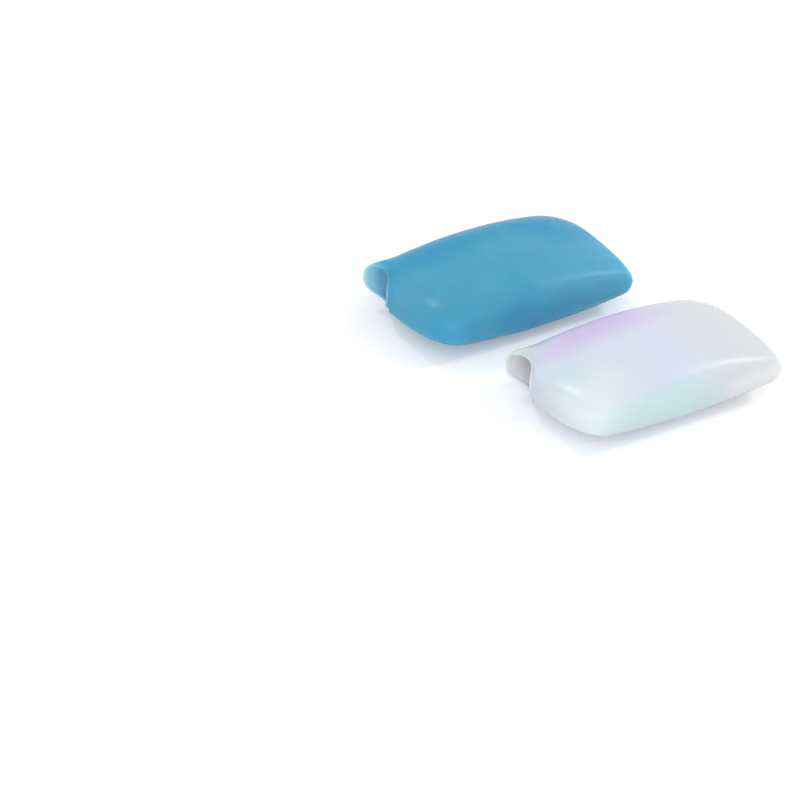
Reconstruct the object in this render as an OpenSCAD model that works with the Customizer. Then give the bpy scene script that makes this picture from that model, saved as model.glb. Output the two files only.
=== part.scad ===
// Pair of soft silicone covers for toothbrush heads, one blue and one frosted clear.
// Each cover is one hollow moulding that lies on its broad face. Its length runs along X
// from the mouth to the closed tip, the back side is on +Y and Z is up. The mouth is an
// oval opening at the back corner of one end, where the neck of a brush slips in.

/* [Cover body] */
// Length from the lip of the mouth to the tip
cover_length = 57; // [48:0.5:75]
// Width from the back side to the near side
cover_width = 34; // [28:0.5:44]
// Thickness of the swollen middle before its underside is flattened
cover_thickness = 18; // [15:0.5:24]
// Thickness of the silicone wall
wall = 1.2; // [0.8:0.1:1.8]
// How much the back side curves in towards its two ends
back_bow = 1.0; // [0:0.1:2]
// Distance from the mouth end to the thickest section
crest_x = 29.5; // [22:0.5:36]
// Sideways run of the crest towards the near side at the tip
crest_drift = 3.0; // [0:0.25:5]
// Roundness of the cross-sections, from an oval at 2 to a rounded box at 3.4
section_power = 2.6; // [2:0.1:3.4]

/* [Tip] */
// Corner radius between the back side and the tip
tip_back_r = 10; // [4:0.5:14]
// Corner radius between the near side and the tip
tip_near_r = 3; // [2.5:0.5:12]
// Thickness of the blunt tip edge
tip_t = 5; // [4:0.25:8]

/* [Mouth and shoulder] */
// Outer width of the oval mouth
mouth_w = 12.6; // [10:0.2:18]
// Outer thickness of the oval mouth
mouth_t = 8.4; // [7:0.2:12]
// How far the lips are scooped back between the two ends of the oval
lip_scoop = 3.0; // [0:0.25:5]
// Length over which the scoop fades into the body
scoop_reach = 13; // [11:0.5:20]
// Length over which the closed shoulder rounds into the near side
shoulder_run = 11.5; // [6:0.5:18]
// Squareness of the shoulder corner, where 2 is a quarter of an oval
shoulder_power = 2.4; // [2:0.1:3]

/* [Rest and layout] */
// Depth of the flat on the underside
rest_flat = 0.4; // [0.2:0.05:0.6]
// Clear gap between the two covers
cover_gap = 13; // [4:0.5:40]
// How far the frosted cover lies further along than the blue one
cover_stagger = 10; // [0:0.2:30]

/* [Hidden] */

// Rings from the mouth to the tip on the outside and on the inside, points on a ring
outer_rings = 30;
inner_rings = 22;
ring_points = 40;
// Rings that round the lip between the outer and the inner surface
lip_rings = 3;
// Share of the nose left open at the last ring, which a flat fan closes
nose_end = 0.995;
// The swell behind the mouth and the fall towards the tip, as powers of sine and cosine
swell_power = 0.8;
fall_power = 0.5;
// Where along the back side the bow is zero, as a share of the length
bow_centre = 0.45;

half_w = cover_width / 2;
half_t = cover_thickness / 2;
lip_r = wall / 2;
// Middle of the mouth across the width
mouth_y = half_w - mouth_w / 2;
// Height of the mid-plane over the surface that the covers lie on
mid_z = half_t - rest_flat;
// Centre of each cover, so that the pair is centred on the origin
pair_dx = cover_stagger / 2;
pair_dy = (cover_width + cover_gap) / 2;

function clamp01(v) = max(0, min(1, v));

// How far a rounded corner of radius r has drawn in at x, where the end is at x = end
function corner_drop(x, end, r) =
    let (d = max(0, min(r, x - end + r)))
    r - sqrt(max(0, r * r - d * d));

// Edge of the back side at x, for a surface that lies inset inside the outer one
function back_edge(x, inset) =
    half_w - inset
    - back_bow * pow(2 * (x / cover_length - bow_centre), 2)
    - corner_drop(x, cover_length - inset, tip_back_r - inset);

// Share of the shoulder's width that is reached at x
function shoulder(x) =
    let (s = clamp01(x / shoulder_run))
    pow(1 - pow(1 - s, shoulder_power), 1 / shoulder_power);

// Edge of the near side at x: from the near end of the mouth, round the shoulder, to the tip
function near_edge(x, inset) =
    half_w - mouth_w + inset
    - (cover_width - mouth_w) * shoulder(x - inset)
    + corner_drop(x, cover_length - inset, tip_near_r - inset);

// Half the thickness at x, blunt and round at the tip like the edge of a cushion
function half_height(x, inset) =
    let (end = cover_length - inset)
    let (nose = tip_t / 2 - inset)
    let (past = max(0, x - (end - nose)) / nose)
    let (round = sqrt(max(0, 1 - past * past)))
    x < crest_x
        ? mouth_t / 2 - inset + (half_t - mouth_t / 2) * pow(sin(90 * x / crest_x), swell_power)
        : round * (tip_t / 2 - inset + (half_t - tip_t / 2)
            * pow(cos(90 * clamp01((x - crest_x) / (end - crest_x))), fall_power));

// Cosine or sine raised so that the oval swells towards a rounded box
function swell(v) = sign(v) * pow(abs(v), 2 / section_power);

// How far the skin is scooped back at x and y: only between the two ends of the oval mouth
function scoop(x, y, inset) =
    let (s = clamp01(abs(y - mouth_y) / (mouth_w / 2 - inset)))
    lip_scoop * pow(1 - s * s, 1.5) * pow(1 - clamp01(x / scoop_reach), 2);

// How far the crest has drifted towards the near side at x
function drift(x) = crest_drift * pow(clamp01((x - crest_x) / (cover_length - crest_x)), 2);

// Point on the surface at station x and angle a
function skin_point(x, a, inset) =
    let (across = swell(cos(a)))
    let (b = back_edge(x, inset))
    let (n = near_edge(x, inset))
    let (y = (b + n) / 2 + (b - n) / 2 * across - drift(x) * (1 - across * across))
    [x + scoop(x, y, inset), y, mid_z + half_height(x, inset) * swell(sin(a))];

// Stations along a surface, close together at the mouth and at the tip
function station(k, rings, inset) =
    let (end = cover_length - inset)
    let (nose = tip_t / 2 - inset)
    k == rings - 1
        ? end - nose * (1 - nose_end)
        : lip_r + (end - lip_r) * (1 - cos(180 * k / (rings - 1))) / 2;

function ring(x, inset) = [
    for (j = [0 : ring_points - 1])
        skin_point(x, 360 * j / ring_points, inset)
];

// Ring of the half-round lip, turned by turn degrees from the outer to the inner surface
function lip_ring(turn) =
    let (outer = ring(lip_r, 0))
    let (inner = ring(lip_r, wall))
    [
        for (j = [0 : ring_points - 1])
            (outer[j] + inner[j]) / 2 + (outer[j] - inner[j]) / 2 * cos(turn)
                - [lip_r * sin(turn), 0, 0]
    ];

// Two rows of triangles that join ring r to ring r + 1
function strip(r) = [
    for (j = [0 : ring_points - 1])
        let (next = (j + 1) % ring_points)
        let (p = r * ring_points)
        let (q = p + ring_points)
        for (t = [[p + j, q + j, q + next], [p + j, q + next, p + next]])
            t
];

// The hollow shell: inner tip, inner rings, lip, outer rings and outer tip, as one skin
module cover_shell() {
    inner = [
        for (k = [inner_rings - 1 : -1 : 0])
            ring(station(k, inner_rings, wall), wall)
    ];
    lip = [
        for (k = [lip_rings : -1 : 1])
            lip_ring(180 * k / (lip_rings + 1))
    ];
    outer = [
        for (k = [0 : outer_rings - 1])
            ring(station(k, outer_rings, 0), 0)
    ];
    rings = concat(inner, lip, outer);
    last = len(rings) - 1;
    flat_points = [
        for (r = rings)
            for (p = r)
                p
    ];
    inner_tip = (rings[0][0] + rings[0][ring_points / 2]) / 2;
    outer_tip = (rings[last][0] + rings[last][ring_points / 2]) / 2;
    points = concat(flat_points, [inner_tip, outer_tip]);
    sides = [
        for (r = [0 : last - 1])
            for (t = strip(r))
                t
    ];
    inner_cap = [
        for (j = [0 : ring_points - 1])
            [len(flat_points), j, (j + 1) % ring_points]
    ];
    outer_cap = [
        for (j = [0 : ring_points - 1])
            [len(flat_points) + 1, last * ring_points + (j + 1) % ring_points, last * ring_points + j]
    ];
    polyhedron(points = points, faces = concat(sides, inner_cap, outer_cap), convexity = 6);
}

// One cover with the flat that it rests on, its mouth end at x = 0
module brush_cover() {
    difference() {
        cover_shell();
        translate([0, -half_w, -half_t])
            cube([cover_length, cover_width, half_t]);
    }
}

module blue_cover() {
    color([0.26, 0.60, 0.75])
        translate([-cover_length / 2 - pair_dx, pair_dy, 0])
            brush_cover();
}

module frosted_cover() {
    color([0.90, 0.93, 0.95])
        translate([-cover_length / 2 + pair_dx, -pair_dy, 0])
            brush_cover();
}

blue_cover();
frosted_cover();
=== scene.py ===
# %% [markdown]
# # A pair of silicone covers
#
# The object is a pair of soft pouches, one blue and one frosted clear, that lie on a table
# on their broad faces. Each is moulded in one piece from silicone: a thin wall all round a
# hollow, with one oval mouth at the back corner of one end. In this lesson each pouch is
# made as one smooth closed surface, worked out with numpy from a few sizes, and gets a
# translucent, matt finish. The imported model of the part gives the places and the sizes, and
# what is made here stands in for its plain solids.

import math

import bpy
import numpy as np
from mathutils import Matrix, Vector


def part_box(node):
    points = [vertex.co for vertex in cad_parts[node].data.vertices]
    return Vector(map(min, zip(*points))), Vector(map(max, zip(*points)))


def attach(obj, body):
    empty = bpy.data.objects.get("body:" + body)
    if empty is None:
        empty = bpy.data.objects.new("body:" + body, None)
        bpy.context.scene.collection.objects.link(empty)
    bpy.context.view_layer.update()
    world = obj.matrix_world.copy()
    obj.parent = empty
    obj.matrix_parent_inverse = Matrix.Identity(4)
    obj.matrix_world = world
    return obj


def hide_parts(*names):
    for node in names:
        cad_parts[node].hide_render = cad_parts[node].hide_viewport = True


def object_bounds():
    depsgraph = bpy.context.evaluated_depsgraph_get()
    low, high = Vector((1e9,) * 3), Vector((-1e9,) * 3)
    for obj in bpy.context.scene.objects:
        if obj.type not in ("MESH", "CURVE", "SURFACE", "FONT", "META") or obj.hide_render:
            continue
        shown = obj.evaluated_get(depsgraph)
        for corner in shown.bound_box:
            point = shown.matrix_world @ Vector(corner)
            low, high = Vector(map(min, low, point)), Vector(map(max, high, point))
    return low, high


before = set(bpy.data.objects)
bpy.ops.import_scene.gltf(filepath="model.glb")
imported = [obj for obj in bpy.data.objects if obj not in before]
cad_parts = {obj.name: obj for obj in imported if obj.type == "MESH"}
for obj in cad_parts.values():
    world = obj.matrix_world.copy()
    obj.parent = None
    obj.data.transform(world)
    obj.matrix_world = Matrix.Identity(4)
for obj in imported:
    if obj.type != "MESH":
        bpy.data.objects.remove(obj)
cad_box = [[float(v) for v in corner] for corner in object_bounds()]
print("CAD box in mm:", [[round(v * 1000, 2) for v in corner] for corner in cad_box])

# %% [markdown]
# ## The size of one pouch
#
# Length, width and height come from the node's box, so the pouch always fills the place that
# the part gives it. The wall and the flat that it rests on can't be told from a box, so they
# are written here, in metres. Both pouches come from one mould.

# %% Length, width and height
MM = 0.001
WALL = 1.2 * MM
REST_FLAT = 0.4 * MM

blue_low, blue_high = (Vector(corner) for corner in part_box("blue_cover"))
clear_low, clear_high = (Vector(corner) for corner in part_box("frosted_cover"))
LENGTH = blue_high.x - blue_low.x
WIDTH = blue_high.y - blue_low.y
THICKNESS = blue_high.z - blue_low.z + REST_FLAT
print("one pouch in mm:", [round(v / MM, 2) for v in (LENGTH, WIDTH, THICKNESS)])

# %% [markdown]
# ## Edges seen from above
#
# Seen from above, the pouch is a rounded rectangle with the mouth in one corner. The back side
# runs from the mouth to the tip in a shallow bow. The near side starts at the mouth, sweeps out
# round a full shoulder and runs straight to the tip. Both are functions of x, the distance from
# the mouth. An inset of one wall gives the inner surface from the same functions, which keeps
# the wall even.

# %% Back and near edges as functions of x
BACK_BOW = 1.0 * MM
BOW_CENTRE = 0.45
TIP_BACK_R = 10 * MM
TIP_NEAR_R = 3 * MM
MOUTH_W = 12.6 * MM
LIP_PROUD = 0.3 * WALL
SHOULDER_RUN = 10 * MM
SHOULDER_POWER = 2.8


def corner_drop(x, end, radius):
    """How far a rounded corner has drawn in at x: a quarter circle that ends at x = end."""
    past = np.clip(x - end + radius, 0, radius)
    return radius - np.sqrt(radius**2 - past**2)


def back_edge(x, inset):
    """The back side: half the width, less a shallow parabola, less the corner at the tip."""
    bow = BACK_BOW * (2 * (x / LENGTH - BOW_CENTRE)) ** 2
    return WIDTH / 2 - inset - bow - corner_drop(x, LENGTH - inset, TIP_BACK_R - inset)


def near_edge(x, inset):
    """The near side: a quarter of a squared oval from the mouth, then straight, then the corner."""
    run = np.clip((x - LIP_PROUD - inset) / (SHOULDER_RUN - LIP_PROUD), 0, 1)
    shoulder = (1 - (1 - run) ** SHOULDER_POWER) ** (1 / SHOULDER_POWER)
    start = WIDTH / 2 - MOUTH_W + inset
    return start - (WIDTH - MOUTH_W) * shoulder + corner_drop(x, LENGTH - inset, TIP_NEAR_R - inset)


x_probe = np.array([1, 5, 15, 30, 45, 55]) * MM
print("widths in mm:", np.round((back_edge(x_probe, 0) - near_edge(x_probe, 0)) / MM, 1))

# %% [markdown]
# ## Height seen from the side
#
# Seen from the side, the pouch swells from the mouth to a crest and falls to a blunt tip. A sine
# wave raised to a power below one gives the full rise, and a cosine the long fall.

# %% Half the height as a function of x
CREST_X = 29.5 * MM
MOUTH_T = 8.4 * MM
TIP_T = 5 * MM
SWELL_POWER = 0.8
FALL_POWER = 0.5


def half_height(x, inset):
    """Half the thickness: a power of a sine up to the crest, then of a cosine, with a round nose."""
    end = LENGTH - inset
    nose = TIP_T / 2 - inset
    rise = np.sin(np.pi / 2 * np.clip(x / CREST_X, 0, 1)) ** SWELL_POWER
    fall = np.cos(np.pi / 2 * np.clip((x - CREST_X) / (end - CREST_X), 0, 1)) ** FALL_POWER
    past = np.clip((x - end + nose) / nose, 0, 1)
    up = MOUTH_T / 2 - inset + (THICKNESS - MOUTH_T) / 2 * rise
    down = np.sqrt(1 - past**2) * (nose + (THICKNESS - TIP_T) / 2 * fall)
    return np.where(x < CREST_X, up, down)


print("half heights in mm:", np.round(half_height(x_probe, 0) / MM, 2))

# %% [markdown]
# ## A skin with two parameters
#
# One parameter is x, the other an angle round the section. A section is a squared oval, so its
# sides are full and its edges round. At the mouth the oval stands round the mouth's own middle,
# and from there the middle moves between the two sides, so that the end wall beside the mouth
# stays smooth. The upper and lower lips are scooped back, and the wall grows thinner towards
# the lip, because the mouth has to stretch.

# %% The skin as one function
SECTION_POWER = 2.6
CENTRE_RUN = 9 * MM
CREST_DRIFT = 3.0 * MM
LIP_THINNING = 0.35
THINNING_RUN = 6 * MM
LIP_SCOOP = 3.0 * MM
SCOOP_POWER = 1.5
SCOOP_REACH = 13 * MM
END_ROUND = 0.8 * MM
END_POWER = 3
END_REACH = 9 * MM
mouth_y = WIDTH / 2 - MOUTH_W / 2


def swell(v):
    """A sine or cosine raised so that the oval swells towards a rounded box."""
    return np.sign(v) * np.abs(v) ** (2 / SECTION_POWER)


def eased(share):
    """A share from 0 to 1, slow at both ends: three times its square less twice its cube."""
    return share**2 * (3 - 2 * share)


def by_mouth(x, reach):
    """1 at the mouth and 0 from x = reach on: the square of a straight fall."""
    return (1 - np.clip(x / reach, 0, 1)) ** 2


def skin(x, angle, inset):
    """Points of a surface: a squared oval round a middle that moves from the mouth's middle to
    the middle between the two sides. Towards the tip its crest drifts to the near side. Its x
    grows by the scoop of the lips and, beside the mouth, by the rounding of the end wall."""
    x, angle = np.broadcast_arrays(x, angle)
    across, up = swell(np.cos(angle)), swell(np.sin(angle))
    inset = inset * (1 - LIP_THINNING * by_mouth(x, THINNING_RUN))
    back, near = back_edge(x, inset), near_edge(x, inset)
    moved = eased(np.clip((x - LIP_PROUD) / CENTRE_RUN, 0, 1))
    centre = mouth_y + ((back + near) / 2 - mouth_y) * moved
    drift = CREST_DRIFT * np.clip((x - CREST_X) / (LENGTH - CREST_X), 0, 1) ** 2
    half_width = np.where(across > 0, back - centre, centre - near)
    y = centre + half_width * across - drift * (1 - across**2)
    off_middle = np.clip(np.abs(y - mouth_y) / (MOUTH_W / 2 - inset), 0, 1)
    scoop = LIP_SCOOP * (1 - off_middle**2) ** SCOOP_POWER * by_mouth(x, SCOOP_REACH)
    beside = eased(np.clip((mouth_y - y) / (MOUTH_W / 2), 0, 1))
    rounding = END_ROUND * beside * np.abs(up) ** END_POWER * by_mouth(x, END_REACH)
    return np.stack([x + scoop + rounding, y, half_height(x, inset) * up], axis=-1)


crest = skin(CREST_X, np.pi / 2, 0)
print("top of the crest in mm:", np.round(crest / MM, 2))

# %% [markdown]
# ## Where the rings stand
#
# Points are spent where the skin bends: at the edges of the section, on the shoulder beside the
# mouth and at the tip. Square rings would cross the end wall in one step, because it turns
# away within a few millimetres. So the rings lean there. On the near side they follow the
# shoulder closely, and on the back side they go ahead evenly.

# %% Angles and stations
RING_POINTS = 192
OUTER_RINGS = 165
INNER_RINGS = 80
BEND_RINGS = 40
BEND = 0.85
CORNER_DRAW = 1.3
TUBE_STEP = 0.3 * MM
NOSE_END = 0.9995


def round_angles(count):
    """Angles once round, drawn closer together where the squared oval turns fastest."""
    quarter = np.linspace(0, 1, count // 4, endpoint=False)
    ahead, behind = quarter**CORNER_DRAW, (1 - quarter) ** CORNER_DRAW
    return np.concatenate([(q + ahead / (ahead + behind)) * np.pi / 2 for q in range(4)])


angles = round_angles(RING_POINTS)


def level(x):
    """The same x all round: a row of equal numbers for each."""
    return np.repeat(np.asarray(x)[:, None], RING_POINTS, axis=1)


def stations(count, inset):
    """Distances from the mouth, a row for each ring. Even rings line the mouth of an inner
    surface. Then rings cross the end wall: on the near side x follows the squared oval of the
    shoulder, at the back it grows evenly. After them x is a quarter of a sine wave, so the
    rings draw together at the tip."""
    start, end = LIP_PROUD + inset, LENGTH - inset
    share = np.linspace(0, 1, BEND_RINGS)[:, None]
    oval = 1 - (1 - (BEND * share) ** SHOULDER_POWER) ** (1 / SHOULDER_POWER)
    near = start + (SHOULDER_RUN - LIP_PROUD) * oval
    even = start + (near[-1] - start) * share
    lean = (1 + swell(np.cos(angles))) / 2
    wave = np.sin(np.pi / 2 * np.arange(1, count + 1) / count)
    rest = level(near[-1] + (end - near[-1]) * wave)
    rest[-1] = end - (TIP_T / 2 - inset) * (1 - NOSE_END)
    tube = level(np.arange(LIP_PROUD, start, TUBE_STEP))
    return np.concatenate([tube, near * (1 - lean) + even * lean, rest])


print("points round:", len(angles), "outer rings:", len(stations(OUTER_RINGS, 0)))

# %% [markdown]
# ## Softness in the surface
#
# A moulded silicone skin is never quite true. It has a faint seam where the two halves of the
# mould met, which runs round the pouch at half its height, and broad, shallow dents that show
# only in the highlights. Both are small moves along the normal, and only inwards, so that the
# pouch never grows past the size of the part.

# %% Moves along the normal
SEAM_HEIGHT = 0.06 * MM
SEAM_WIDTH = 0.25 * MM
DENT_DEPTH = 0.10 * MM
DENT_LENGTHS = (31 * MM, 19 * MM, 13 * MM)
DENT_CALM = 3 * MM
LIP_CALM = 6 * MM


def normals(grid):
    """Unit normals of a grid of points: the cross product of its two directions."""
    along = np.gradient(grid, axis=0)
    wrapped = np.concatenate([grid[:, -1:], grid, grid[:, :1]], axis=1)
    around = (wrapped[:, 2:] - wrapped[:, :-2]) / 2
    n = np.cross(around, along)
    return n / np.maximum(np.linalg.norm(n, axis=-1, keepdims=True), 1e-12)


def dents(grid, phase):
    """From 0 to 1: the mean of three slanted sine waves over x and y, of different lengths."""
    x, y = grid[..., 0], grid[..., 1]
    total = 0
    for k, length in enumerate(DENT_LENGTHS):
        slanted = x * math.cos(k + phase) + y * math.sin(k + phase)
        total = total + np.sin(2 * np.pi * slanted / length + 2 * k * phase)
    return 0.5 + total / (2 * len(DENT_LENGTHS))


def soften(grid, phase):
    """The skin moved inwards: by the seam's height except on the seam, and by the dents except
    near it. Both fade out towards the first ring, which carries the lip."""
    z = grid[..., 2]
    seam = SEAM_HEIGHT * (1 - np.exp(-((z / SEAM_WIDTH) ** 2)))
    dent = DENT_DEPTH * dents(grid, phase) * (1 - np.exp(-((z / DENT_CALM) ** 2)))
    past_lip = np.clip(np.linalg.norm(grid - grid[0], axis=-1) / LIP_CALM, 0, 1)
    depth = (seam + dent) * eased(past_lip)
    return grid - normals(grid) * depth[..., None]


print("deepest dent and seam in mm:", round((DENT_DEPTH + SEAM_HEIGHT) / MM, 2))

# %% [markdown]
# ## From the inner tip to the outer tip
#
# The rings start at the tip of the inner surface, come out through the mouth, turn over the
# rounded lip and go on to the tip of the outer surface. All rings are one array, and the faces
# are index arithmetic on it, so no loop runs over vertices. A small fan closes each tip. The
# mesh is then watertight and every face points outwards.

# %% Rings, lip and faces
LIP_RINGS = 9


def lip(outer, inner):
    """Rings from the inner to the outer one over half an oval, which bulges out of the mouth."""
    turn = np.pi * np.arange(LIP_RINGS, 0, -1)[:, None, None] / (LIP_RINGS + 1)
    middle, arm = (outer + inner) / 2, (outer - inner) / 2
    bulge = np.array([LIP_PROUD, 0, 0])
    return middle + arm * np.cos(turn) - bulge * np.sin(turn)


def pouch_rings(phase):
    """All rings in order, and how many of them lie on the inner surface."""
    outer = soften(skin(stations(OUTER_RINGS, 0), angles, 0), phase)
    inner = skin(stations(INNER_RINGS, WALL), angles, WALL)
    return np.concatenate([inner[::-1], lip(outer[0], inner[0]), outer]), len(inner)


def pouch_faces(ring_count):
    """Quads between neighbouring rings, and a fan round the point in the middle of each tip."""
    row = np.arange(ring_count - 1)[:, None] * RING_POINTS
    here = np.arange(RING_POINTS)
    after = (here + 1) % RING_POINTS
    beyond = row + RING_POINTS
    quads = np.stack([row + here, row + after, beyond + after, beyond + here], axis=-1)
    inner_point = ring_count * RING_POINTS
    last = inner_point - RING_POINTS
    inner_fan = np.stack([np.full(RING_POINTS, inner_point), after, here], axis=-1)
    outer_fan = np.stack([np.full(RING_POINTS, inner_point + 1), last + here, last + after], axis=-1)
    return quads.reshape(-1, 4).tolist() + inner_fan.tolist() + outer_fan.tolist()


print("faces with four rings:", len(pouch_faces(4)))

# %% [markdown]
# ## The two pouches
#
# Each stands where its node stands: its mouth end at the node's low x, and the middle of its
# width and height at the middle of the node. The flat that it rests on is the lowest slice of
# the belly, pressed level. A number on each point, called inside, is 1 on the inner surface,
# and the finishes read it to paint light on the inner surface. A positive volume proves that the faces
# point outwards.

# %% Make and place them
FADE_RINGS = 12


def signed_volume(mesh):
    """Volume inside a closed mesh: a sixth of the sum of its triangles' triple products."""
    mesh.calc_loop_triangles()
    points = np.empty(len(mesh.vertices) * 3)
    mesh.vertices.foreach_get("co", points)
    corners = np.empty(len(mesh.loop_triangles) * 3, dtype=np.int32)
    mesh.loop_triangles.foreach_get("vertices", corners)
    a, b, c = np.moveaxis(points.reshape(-1, 3)[corners.reshape(-1, 3)], 1, 0)
    return float(np.einsum("ij,ij->", a, np.cross(b, c)) / 6)


def mark_inside(mesh, ring_count, inner_count):
    """The attribute inside: 1 on the inner rings, falling evenly to 0 over those next to the lip."""
    inside = np.clip((inner_count - np.arange(ring_count)) / FADE_RINGS, 0, 1)
    mark = mesh.attributes.new("inside", "FLOAT", "POINT")
    mark.data.foreach_set("value", np.append(np.repeat(inside, RING_POINTS), [1.0, 0.0]))


def make_pouch(name, low, high, phase):
    """A pouch at the place of its node, with its underside pressed flat at the node's low z."""
    rings, inner_count = pouch_rings(phase)
    half = RING_POINTS // 2
    tips = [(ring[0] + ring[half]) / 2 for ring in (rings[0], rings[-1])]
    points = np.concatenate([rings.reshape(-1, 3), tips])
    points += np.array([low.x, (low.y + high.y) / 2, low.z + THICKNESS / 2 - REST_FLAT])
    points[:, 2] = np.maximum(points[:, 2], low.z)
    faces = pouch_faces(len(rings))
    mesh = bpy.data.meshes.new(name)
    mesh.from_pydata(points.tolist(), [], faces)
    mesh.polygons.foreach_set("use_smooth", np.ones(len(faces), dtype=bool))
    mark_inside(mesh, len(rings), inner_count)
    mesh.update()
    piece = bpy.data.objects.new(name, mesh)
    bpy.context.scene.collection.objects.link(piece)
    print(name, "faces:", len(faces), "volume in cm3:", round(signed_volume(mesh) * 1e6, 2))
    return piece


blue_pouch = make_pouch("blue_pouch", blue_low, blue_high, phase=0.4)
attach(blue_pouch, "root")
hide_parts("blue_cover")

clear_pouch = make_pouch("clear_pouch", clear_low, clear_high, phase=1.7)
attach(clear_pouch, "root")
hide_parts("frosted_cover")

# %% [markdown]
# ## Writing shader maths as expressions
#
# A finish is a small program of nodes. The class below wraps an output socket, so that
# `1 - mask` or `a * b` adds the Math node that does it. The function `node` adds any other node
# from its kind, its settings and its inputs.

# %% A socket that can be added and multiplied
class Value:
    """The output of a node, with the operators that this lesson uses."""

    def __init__(self, tree, socket):
        self.tree = tree
        self.socket = socket

    def output(self, name):
        """Another output of the same node."""
        return Value(self.tree, self.socket.node.outputs[name])

    def maths(self, operation, other):
        return node(self.tree, "ShaderNodeMath", {"operation": operation}, self, other)

    def __add__(self, other):
        return self.maths("ADD", other)

    __radd__ = __add__

    def __mul__(self, other):
        return self.maths("MULTIPLY", other)

    __rmul__ = __mul__

    def __sub__(self, other):
        return self.maths("SUBTRACT", other)

    def __rsub__(self, other):
        return node(self.tree, "ShaderNodeMath", {"operation": "SUBTRACT"}, other, self)


def node(tree, kind, settings, *values, output=0, **named):
    """A node of one kind. Its settings are set first. Then its inputs get values or links, in
    their order, where None leaves one alone, or by name, with _ for a space."""
    made = tree.nodes.new(kind)
    for key, value in settings.items():
        setattr(made, key, value)
    pairs = [(made.inputs[i], v) for i, v in enumerate(values)]
    pairs += [(made.inputs[key.replace("_", " ")], v) for key, v in named.items()]
    for socket, value in pairs:
        if isinstance(value, Value):
            tree.links.new(value.socket, socket)
        elif value is not None:
            socket.default_value = value
    return Value(tree, made.outputs[output])


# %% [markdown]
# Most of the finish is made of soft masks: numbers that rise or fall between two places on the
# pouch. A colour is mixed over another by such a mask. Colours are picked as they look on a
# screen, and `linear` turns them into the light that a shader works in.

# %% Masks and colours
def rising(value, low, high):
    """From 0 at low to 1 at high with no corner at either end."""
    settings = {"interpolation_type": "SMOOTHSTEP", "clamp": True}
    return node(value.tree, "ShaderNodeMapRange", settings, value, low, high, 0.0, 1.0)


def falling(value, low, high):
    """From 1 at low to 0 at high."""
    return 1 - rising(value, low, high)


def mixed(tree, share, first, second):
    """The first colour where share is 0 and the second where it is 1. Five sockets of the Mix
    node, which are for numbers and vectors, stay empty."""
    empty = [None] * 5
    return node(tree, "ShaderNodeMix", {"data_type": "RGBA"}, share, *empty, first, second, output=2)


def linear(red, green, blue):
    """A colour of the screen, 0 to 255, as linear light."""
    parts = [v / 255 for v in (red, green, blue)]
    return [v / 12.92 if v <= 0.04045 else ((v + 0.055) / 1.055) ** 2.4 for v in parts] + [1.0]


print("half of full brightness as linear light:", round(linear(128, 128, 128)[0], 3))

# %% [markdown]
# ## Matt translucent silicone
#
# Silicone lets light in, scatters it and lets it out again a little way off. Subsurface
# scattering does this. Its path is a few walls long in the blue, which evens out its light and
# shade, and shorter in the clear, which would turn grey with a long one. The mould was blasted
# with grit, so the skin is matt: a fine grain drives the bump and breaks up the roughness a
# little, the middle is rubbed duller, and a few specks of lint cling to it. The roughness stays
# below 0.27 nearly everywhere, because the render's denoiser draws a border where it passes
# that value. What changes over the surface feeds only the colour, the roughness and the bump;
# the rest are constants on the shader.

# %% Grain, clouds and lint
GRAIN_PER_M = 5200
CLOUD_PER_M = 95
LINT_PER_M = 130
LINT_SIZE = 0.035
LINT_LUCK = 0.70


def noise(tree, vector, per_metre, detail):
    """Soft noise around zero, from about minus to plus a half."""
    made = node(tree, "ShaderNodeTexNoise", {}, vector, Scale=per_metre, Detail=detail, Roughness=0.55)
    return made - 0.5


def lint(tree, vector):
    """1 on a few small specks, 0 elsewhere: the middles of the luckiest cells of a pattern."""
    cells = node(tree, "ShaderNodeTexVoronoi", {}, vector, Scale=LINT_PER_M)
    luck = node(tree, "ShaderNodeSeparateColor", {}, cells.output("Color"))
    return falling(cells, LINT_SIZE * 0.4, LINT_SIZE) * rising(luck, LINT_LUCK, LINT_LUCK + 0.02)


def place_in_box(tree, low, high):
    """Metres from the middle of the pouch's box, and u, v, w from -0.5 to 0.5 across that box."""
    coords = node(tree, "ShaderNodeTexCoord", {}, output="Object")
    middle = [-c for c in (low + high) / 2]
    metres = node(tree, "ShaderNodeMapping", {"vector_type": "POINT"}, coords, Location=middle)
    shares = node(tree, "ShaderNodeVectorMath", {"operation": "DIVIDE"}, metres, list(high - low))
    split = node(tree, "ShaderNodeSeparateXYZ", {}, shares)
    return metres, [split.output(axis) for axis in "XYZ"]


print("mean size of a grain in mm:", round(1000 / GRAIN_PER_M, 2))

# %% The shared part of the finish
ROUGHNESS = 0.205
ROUGHER_RUBBED = 0.035
ROUGHER_CLOUDS = 0.06
ROUGHER_GRAIN = 0.03
GRAIN_BUMP = 0.25
GRAIN_DEPTH = 0.04 * MM
LINT_SHARE = 0.45
LINT_COLOUR = linear(235, 238, 240)


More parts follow.
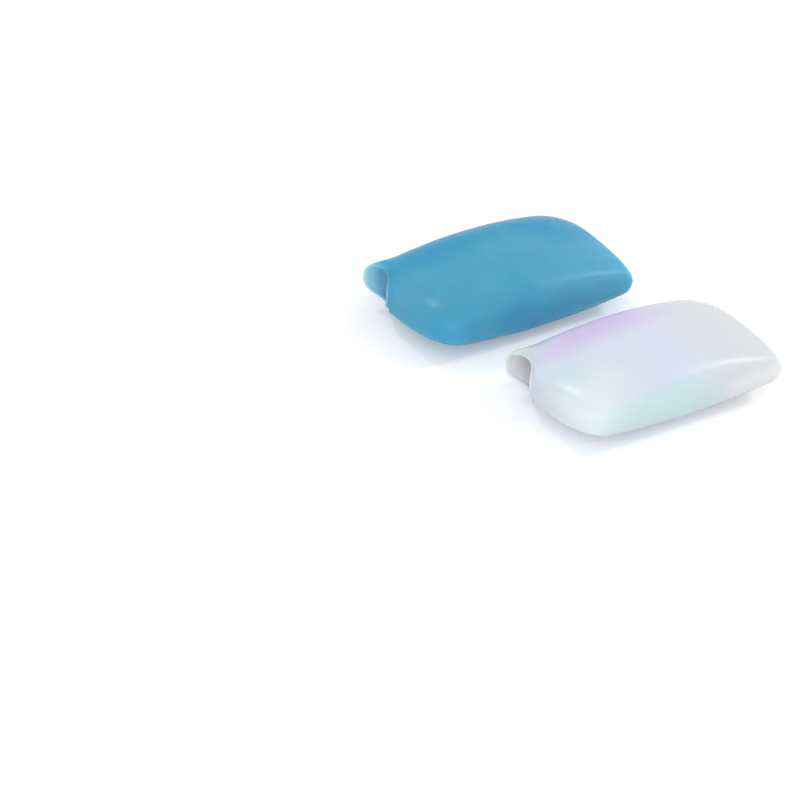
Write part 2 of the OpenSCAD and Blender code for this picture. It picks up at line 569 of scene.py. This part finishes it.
def silicone(name, colour_of, low, high, path, shine):
    """A Principled material whose colour comes from colour_of(tree, u, v, w, inside, clouds). The
    path is how far light travels in it, in metres, and shine how much of it the skin reflects."""
    material = bpy.data.materials.new(name)
    material.use_nodes = True
    tree = material.node_tree
    metres, (u, v, w) = place_in_box(tree, low, high)
    grain = noise(tree, metres, GRAIN_PER_M, 3.0)
    clouds = noise(tree, metres, CLOUD_PER_M, 2.0)
    inside = node(tree, "ShaderNodeAttribute", {"attribute_name": "inside"}, output="Fac")
    rubbed = rising(u, -0.34, -0.12) * falling(u, 0.10, 0.27)
    clean = colour_of(tree, u, v, w, inside, clouds)
    varying = {
        "Base Color": mixed(tree, lint(tree, metres) * LINT_SHARE, clean, LINT_COLOUR),
        "Roughness": ROUGHNESS + rubbed * ROUGHER_RUBBED + clouds * ROUGHER_CLOUDS + grain * ROUGHER_GRAIN,
        "Normal": node(tree, "ShaderNodeBump", {}, Strength=GRAIN_BUMP, Distance=GRAIN_DEPTH, Height=grain),
    }
    constants = {
        "IOR": 1.41,
        "Subsurface Weight": 1.0,
        "Subsurface Radius": (1.0, 1.0, 1.0),
        "Subsurface Scale": path,
        "Specular IOR Level": shine,
    }
    shader = tree.nodes["Principled BSDF"]
    for key, value in varying.items():
        tree.links.new(value.socket, shader.inputs[key])
    for key, value in constants.items():
        shader.inputs[key].default_value = value
    print(name, "nodes:", len(tree.nodes))
    return material


# %% [markdown]
# ### Blue
#
# The dye is even, but the wall isn't lit evenly, and that light and shade is painted into the colour.
# Painted shade darkens the back side, where the wall curves away, and the broad side of the tip.
# Painted light lightens the near side of the tip, the thin lip of the mouth, which light reaches from
# both sides, and the inner surface. So the colour moves between a deep and a pale blue by masks over the
# box.

# %% The blue finish
def blue_colour(tree, u, v, w, inside, clouds):
    """Mid blue with painted shade at the back and at the tip, and painted light at the lip, low on the tip
    and on the inner surface.
    """
    # Masks over the box for painted shade at the back and on the tip, and for painted light at the lip and
    # on the near side of the tip.
    back = rising(v, 0.00, 0.28)
    back_of_tip = back * rising(u, -0.10, 0.20)
    broad_tip = rising(u, 0.12, 0.36) * rising(v, -0.22, 0.12) * (1 - back)
    lip_zone = falling(u, -0.48, -0.41) * rising(v, 0.22, 0.40)
    near_tip = rising(u, -0.10, 0.30) * falling(v, -0.50, -0.20)
    # Painted shade comes from the first three masks. Painted light comes from the lip, the near side of the
    # tip and the inner surface; the clouds add the silicone's own random tone.
    painted_shade = back * 0.26 + back_of_tip * 0.10 + broad_tip * 0.33
    painted_light_and_clouds = lip_zone * 0.70 + near_tip * 0.14 + inside * 0.20 + clouds * 0.30
    return mixed(tree, 0.43 - painted_shade + painted_light_and_clouds, linear(8, 140, 192), linear(118, 188, 222))


blue_finish = silicone("blue_silicone", blue_colour, blue_low, blue_high, path=7 * MM, shine=0.13)
blue_pouch.data.materials.append(blue_finish)

# %% [markdown]
# ### Frosted clear
#
# The same silicone without a dye is a milky white. The faint tints that the light round it gives it
# are painted into the colour: lilac along the back side, grey-green at the back corner of the mouth,
# a cool blue-white over the middle, an icy white on the near shoulder, a painted shade of blue beside
# the mouth, and a trace of aqua low on the near side. Painted light makes it white low on the tip, at
# the lip and on the inner surface; the rest of the tip stays neutral. Each tint is laid over the ones
# before it by its own mask.

# %% The frosted finish
MILK = linear(214, 217, 221)
PAINTED_LIGHT_WHITE = linear(250, 250, 252)
COOL = linear(208, 221, 255)
ICE = linear(232, 250, 255)
PAINTED_SHADE_BLUE = linear(196, 227, 255)
LILAC = linear(203, 178, 232)
AQUA = linear(192, 230, 219)
MOSS = linear(184, 204, 190)


def frosted_colour(tree, u, v, w, inside, clouds):
    """Milky white with painted tints of light and shade that fade into each other across the box."""
    middle = falling(u, -0.05, 0.36)
    shoulder = falling(u, -0.44, -0.10) * falling(v, -0.30, 0.10)
    beside_mouth = falling(u, -0.44, -0.22) * falling(v, -0.02, 0.18) * rising(w, 0.10, 0.28)
    back = rising(u, -0.60, -0.22) * falling(u, -0.08, 0.34) * rising(v, 0.02, 0.26)
    low_tip = rising(u, 0.12, 0.30) * falling(v, -0.50, -0.44) * falling(w, 0.00, 0.20)
    low_near = rising(u, -0.50, -0.25) * falling(u, -0.05, 0.32) * falling(v, -0.50, -0.40)
    lip_zone = falling(u, -0.48, -0.41) * rising(v, 0.22, 0.40)
    corner = falling(u, -0.44, -0.26) * rising(v, 0.22, 0.38) * rising(w, -0.15, 0.20)
    # Every layer but the milky one is painted: tints of coloured light, a painted shade of blue beside the
    # mouth and painted light in white. The milky layer with the clouds is the silicone's own random tone.
    layers = [
        (middle * 0.90, COOL),
        (shoulder * 0.70, ICE),
        (beside_mouth * rising(v, -0.30, -0.10) * 0.60, PAINTED_SHADE_BLUE),
        (back * rising(w, -0.45, 0.15) * 0.80, LILAC),
        (low_tip * 0.60, PAINTED_LIGHT_WHITE),
        (low_near * 0.60, AQUA),
        (lip_zone * 0.80, PAINTED_LIGHT_WHITE),
        (corner * 0.85, MOSS),
        (0.1 + clouds * 0.25, MILK),
        (inside, PAINTED_LIGHT_WHITE),
    ]
    colour = MILK
    for share, tint in layers:
        colour = mixed(tree, share, colour, tint)
    return colour


frosted_finish = silicone(
    "frosted_silicone", frosted_colour, clear_low, clear_high, path=2.8 * MM, shine=0.26
)
clear_pouch.data.materials.append(frosted_finish)

# %% [markdown]
# ## Table and world
#
# The pouches lie on a white table under broad, soft light, as for a catalogue. The table is a
# plain pale disc. Where the camera sees it directly it gets a little light of its own, which
# brings it to white and keeps the soft shadows under the pouches. The world is a softer light
# on the pouches than it looks to the camera and in reflections, where it is plain white.

# %% Table
TABLE_RADIUS = 3.0
TABLE_POINTS = 96
TABLE_GREY = 0.88
TABLE_LIFT = 0.22

turn = 2 * np.pi * np.arange(TABLE_POINTS) / TABLE_POINTS
table_z = np.full_like(turn, cad_box[0][2])
rim = np.stack([TABLE_RADIUS * np.cos(turn), TABLE_RADIUS * np.sin(turn), table_z], axis=-1)
table_mesh = bpy.data.meshes.new("floor")
table_mesh.from_pydata(rim.tolist(), [], [list(range(TABLE_POINTS))])
table = bpy.data.objects.new("floor", table_mesh)
bpy.context.scene.collection.objects.link(table)

paper = bpy.data.materials.new("white_table")
paper.use_nodes = True
paper_tree = paper.node_tree
paper_shader = paper_tree.nodes["Principled BSDF"]
paper_shader.inputs["Base Color"].default_value = (TABLE_GREY, TABLE_GREY, TABLE_GREY, 1)
paper_shader.inputs["Roughness"].default_value = 0.9
paper_shader.inputs["Specular IOR Level"].default_value = 0.1
paper_shader.inputs["Emission Color"].default_value = (1, 1, 1, 1)
glow = node(paper_tree, "ShaderNodeLightPath", {}, output="Is Camera Ray") * TABLE_LIFT
paper_tree.links.new(glow.socket, paper_shader.inputs["Emission Strength"])
table.data.materials.append(paper)
print("table across in m:", 2 * TABLE_RADIUS)

# %% World
SKY = 0.75

world = bpy.data.worlds.new("studio")
bpy.context.scene.world = world
world.use_nodes = True
background = world.node_tree.nodes["Background"]
camera_ray = node(world.node_tree, "ShaderNodeLightPath", {}, output="Is Camera Ray")
mirrored = camera_ray.output("Is Glossy Ray").maths("MAXIMUM", camera_ray.output("Is Transmission Ray"))
direct = camera_ray.maths("MAXIMUM", mirrored)
strength = direct * (1 - SKY) + SKY
background.inputs["Color"].default_value = (1, 1, 1, 1)
world.node_tree.links.new(strength.socket, background.inputs["Strength"])
print("world strength on the pouches:", SKY)

# %% [markdown]
# ## Lamps
#
# A broad lamp behind the camera lights the near sides. Two smaller ones give the highlights:
# one high over the far side puts a spot on the shoulder by the mouth, and one to the right
# draws a soft streak along the near side of the tip.

# %% Three lamps
def soft_lamp(name, turn, height, distance, size, power):
    """A square area lamp aimed at the pouches, placed by its turn from +X and its angle above
    the table."""
    light = bpy.data.lights.new(name, "AREA")
    light.shape = "SQUARE"
    light.size = size
    light.energy = power
    turn, height = math.radians(turn), math.radians(height)
    level_part = math.cos(height)
    away = Vector((math.cos(turn) * level_part, math.sin(turn) * level_part, math.sin(height)))
    lamp = bpy.data.objects.new(name, light)
    lamp.location = away * distance
    lamp.rotation_euler = away.to_track_quat("Z", "Y").to_euler()
    bpy.context.scene.collection.objects.link(lamp)
    print(name, "lamp at", [round(v, 2) for v in lamp.location])


soft_lamp("broad", turn=-131, height=36, distance=2.0, size=1.8, power=10.9)
soft_lamp("spot", turn=114, height=60.5, distance=1.2, size=0.08, power=1.3)
soft_lamp("streak", turn=-23, height=46, distance=1.2, size=0.24, power=2.9)

# %% [markdown]
# ## Camera
#
# The camera looks down at the table from about 35 degrees, across the length of the pouches. Its
# place is given by its turn about the vertical, its angle above the table and its distance. It
# is rolled a little, and a long lens keeps the perspective slight.

# %% Camera
PICTURE = 800
CAMERA_TURN = math.radians(33.0)
CAMERA_HEIGHT = math.radians(34.7)
CAMERA_ROLL = math.radians(2.95)
CAMERA_DISTANCE = 0.976
PIXELS_PER_M = 4320
TARGET = Vector((-0.0455, 0.0016, 0.0))

ahead = Vector((math.sin(CAMERA_TURN), math.cos(CAMERA_TURN), 0))
look = ahead * math.cos(CAMERA_HEIGHT) - Vector((0, 0, math.sin(CAMERA_HEIGHT)))
right = Vector((math.cos(CAMERA_TURN), -math.sin(CAMERA_TURN), 0))
up = right.cross(look)
rolled_right = right * math.cos(CAMERA_ROLL) + up * math.sin(CAMERA_ROLL)
rolled_up = up * math.cos(CAMERA_ROLL) - right * math.sin(CAMERA_ROLL)

lens = bpy.data.cameras.new("camera")
lens.sensor_width = 36
lens.lens = PIXELS_PER_M * CAMERA_DISTANCE * lens.sensor_width / PICTURE
lens.clip_start = 0.05
lens.clip_end = 20
camera = bpy.data.objects.new("camera", lens)
pose = Matrix((rolled_right, rolled_up, -look)).transposed().to_4x4()
pose.translation = TARGET - look * CAMERA_DISTANCE
camera.matrix_world = pose
bpy.context.scene.collection.objects.link(camera)
bpy.context.scene.camera = camera
bpy.context.scene.view_settings.view_transform = "Standard"
print("lens in mm:", round(lens.lens, 1))
